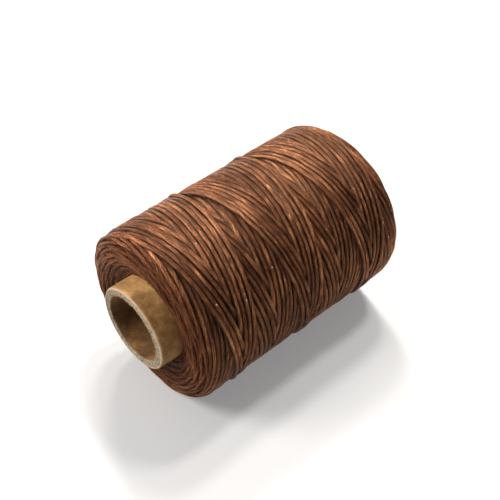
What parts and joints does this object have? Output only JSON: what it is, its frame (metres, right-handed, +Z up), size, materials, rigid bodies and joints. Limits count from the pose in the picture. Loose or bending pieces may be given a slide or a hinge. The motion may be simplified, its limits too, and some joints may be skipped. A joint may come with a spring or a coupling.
{
  "type": "waxed thread spool",
  "caption": "Waxed sewing thread for leatherwork, cross-wound with rounded shoulders on a plain laminated paper tube that stands proud at both ends, lying on its side.",
  "frame": {"origin": "on the surface the spool lies on, straight below the middle of the spool", "axes": "+X along the spool's axis, towards the tube end that faces away in the picture; +Z up; +Y completes a right-handed frame"},
  "size_m": [0.08, 0.05, 0.0498],
  "materials": {
    "waxed_thread": "satin",
    "outer_kraft": "matte",
    "grey_board": "matte",
    "inner_kraft": "matte"
  },
  "bodies": {
    "root": {"core_inner_liner": "inner_kraft", "core_board_ply_1": "grey_board", "core_board_ply_2": "grey_board", "core_board_ply_3": "grey_board", "core_board_ply_4": "grey_board", "core_board_ply_5": "grey_board", "core_outer_cover": "outer_kraft", "thread_winding": "waxed_thread"}
  },
  "joints": []
}
